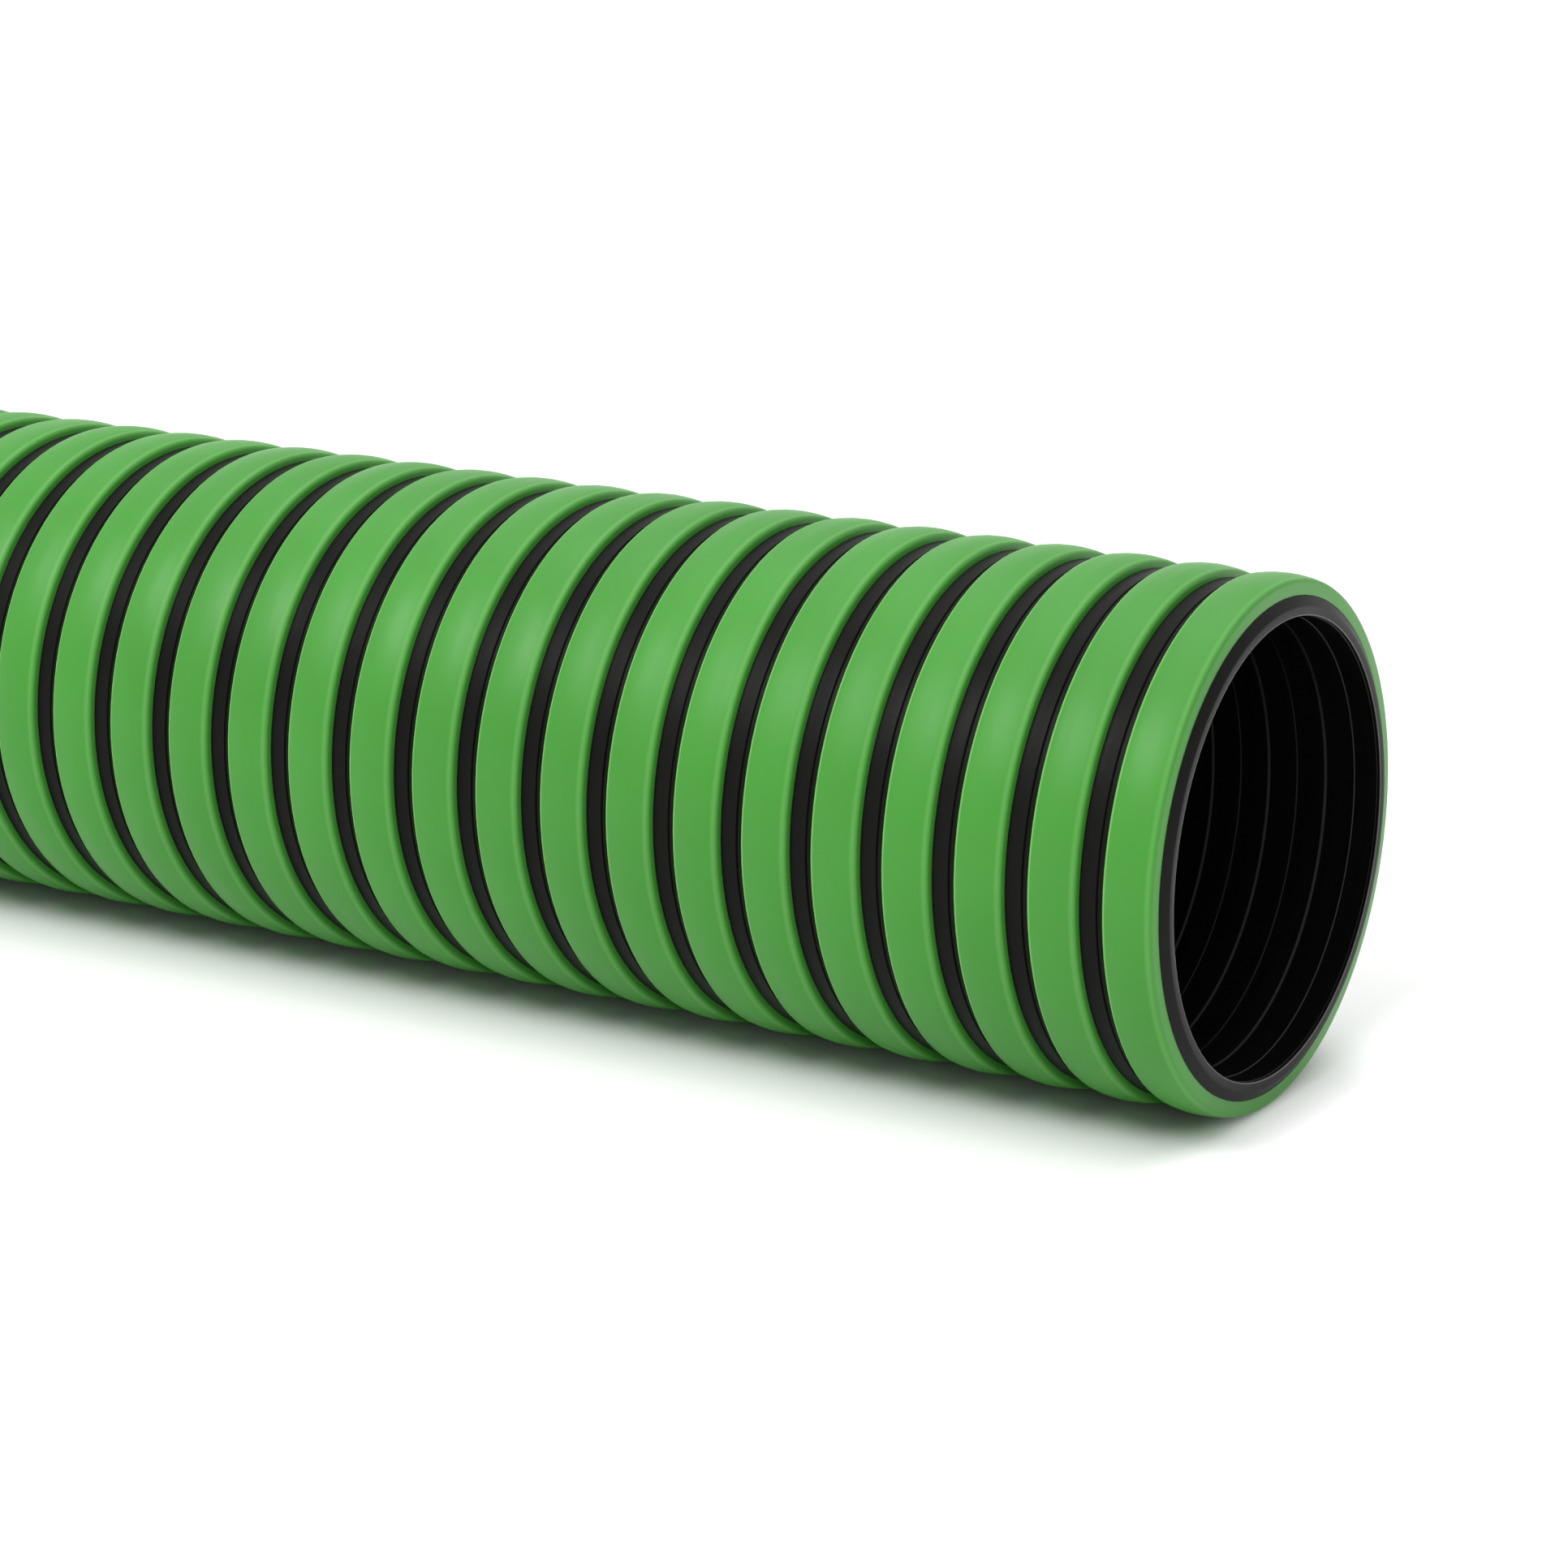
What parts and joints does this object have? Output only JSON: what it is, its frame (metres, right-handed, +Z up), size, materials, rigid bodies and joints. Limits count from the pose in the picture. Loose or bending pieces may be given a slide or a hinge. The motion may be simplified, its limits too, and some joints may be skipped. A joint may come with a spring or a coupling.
{
  "type": "suction hose",
  "caption": "Straight length of ribbed suction hose: a black rubber tube with closed green ribs sunk to half their height in it, cut square and open at both ends.",
  "frame": {"origin": "on the floor, under the middle of the hose's length", "axes": "+X along the hose, +Z up; the hose lies on its ribs with its axis level"},
  "size_m": [1, 0.1184, 0.1186],
  "materials": {
    "rubber_tube": "matt black extruded rubber",
    "green_ribs": "satin mid-green polyethylene"
  },
  "bodies": {
    "root": {"rubber_tube": "rubber_tube", "green_ribs": "green_ribs"}
  },
  "joints": []
}
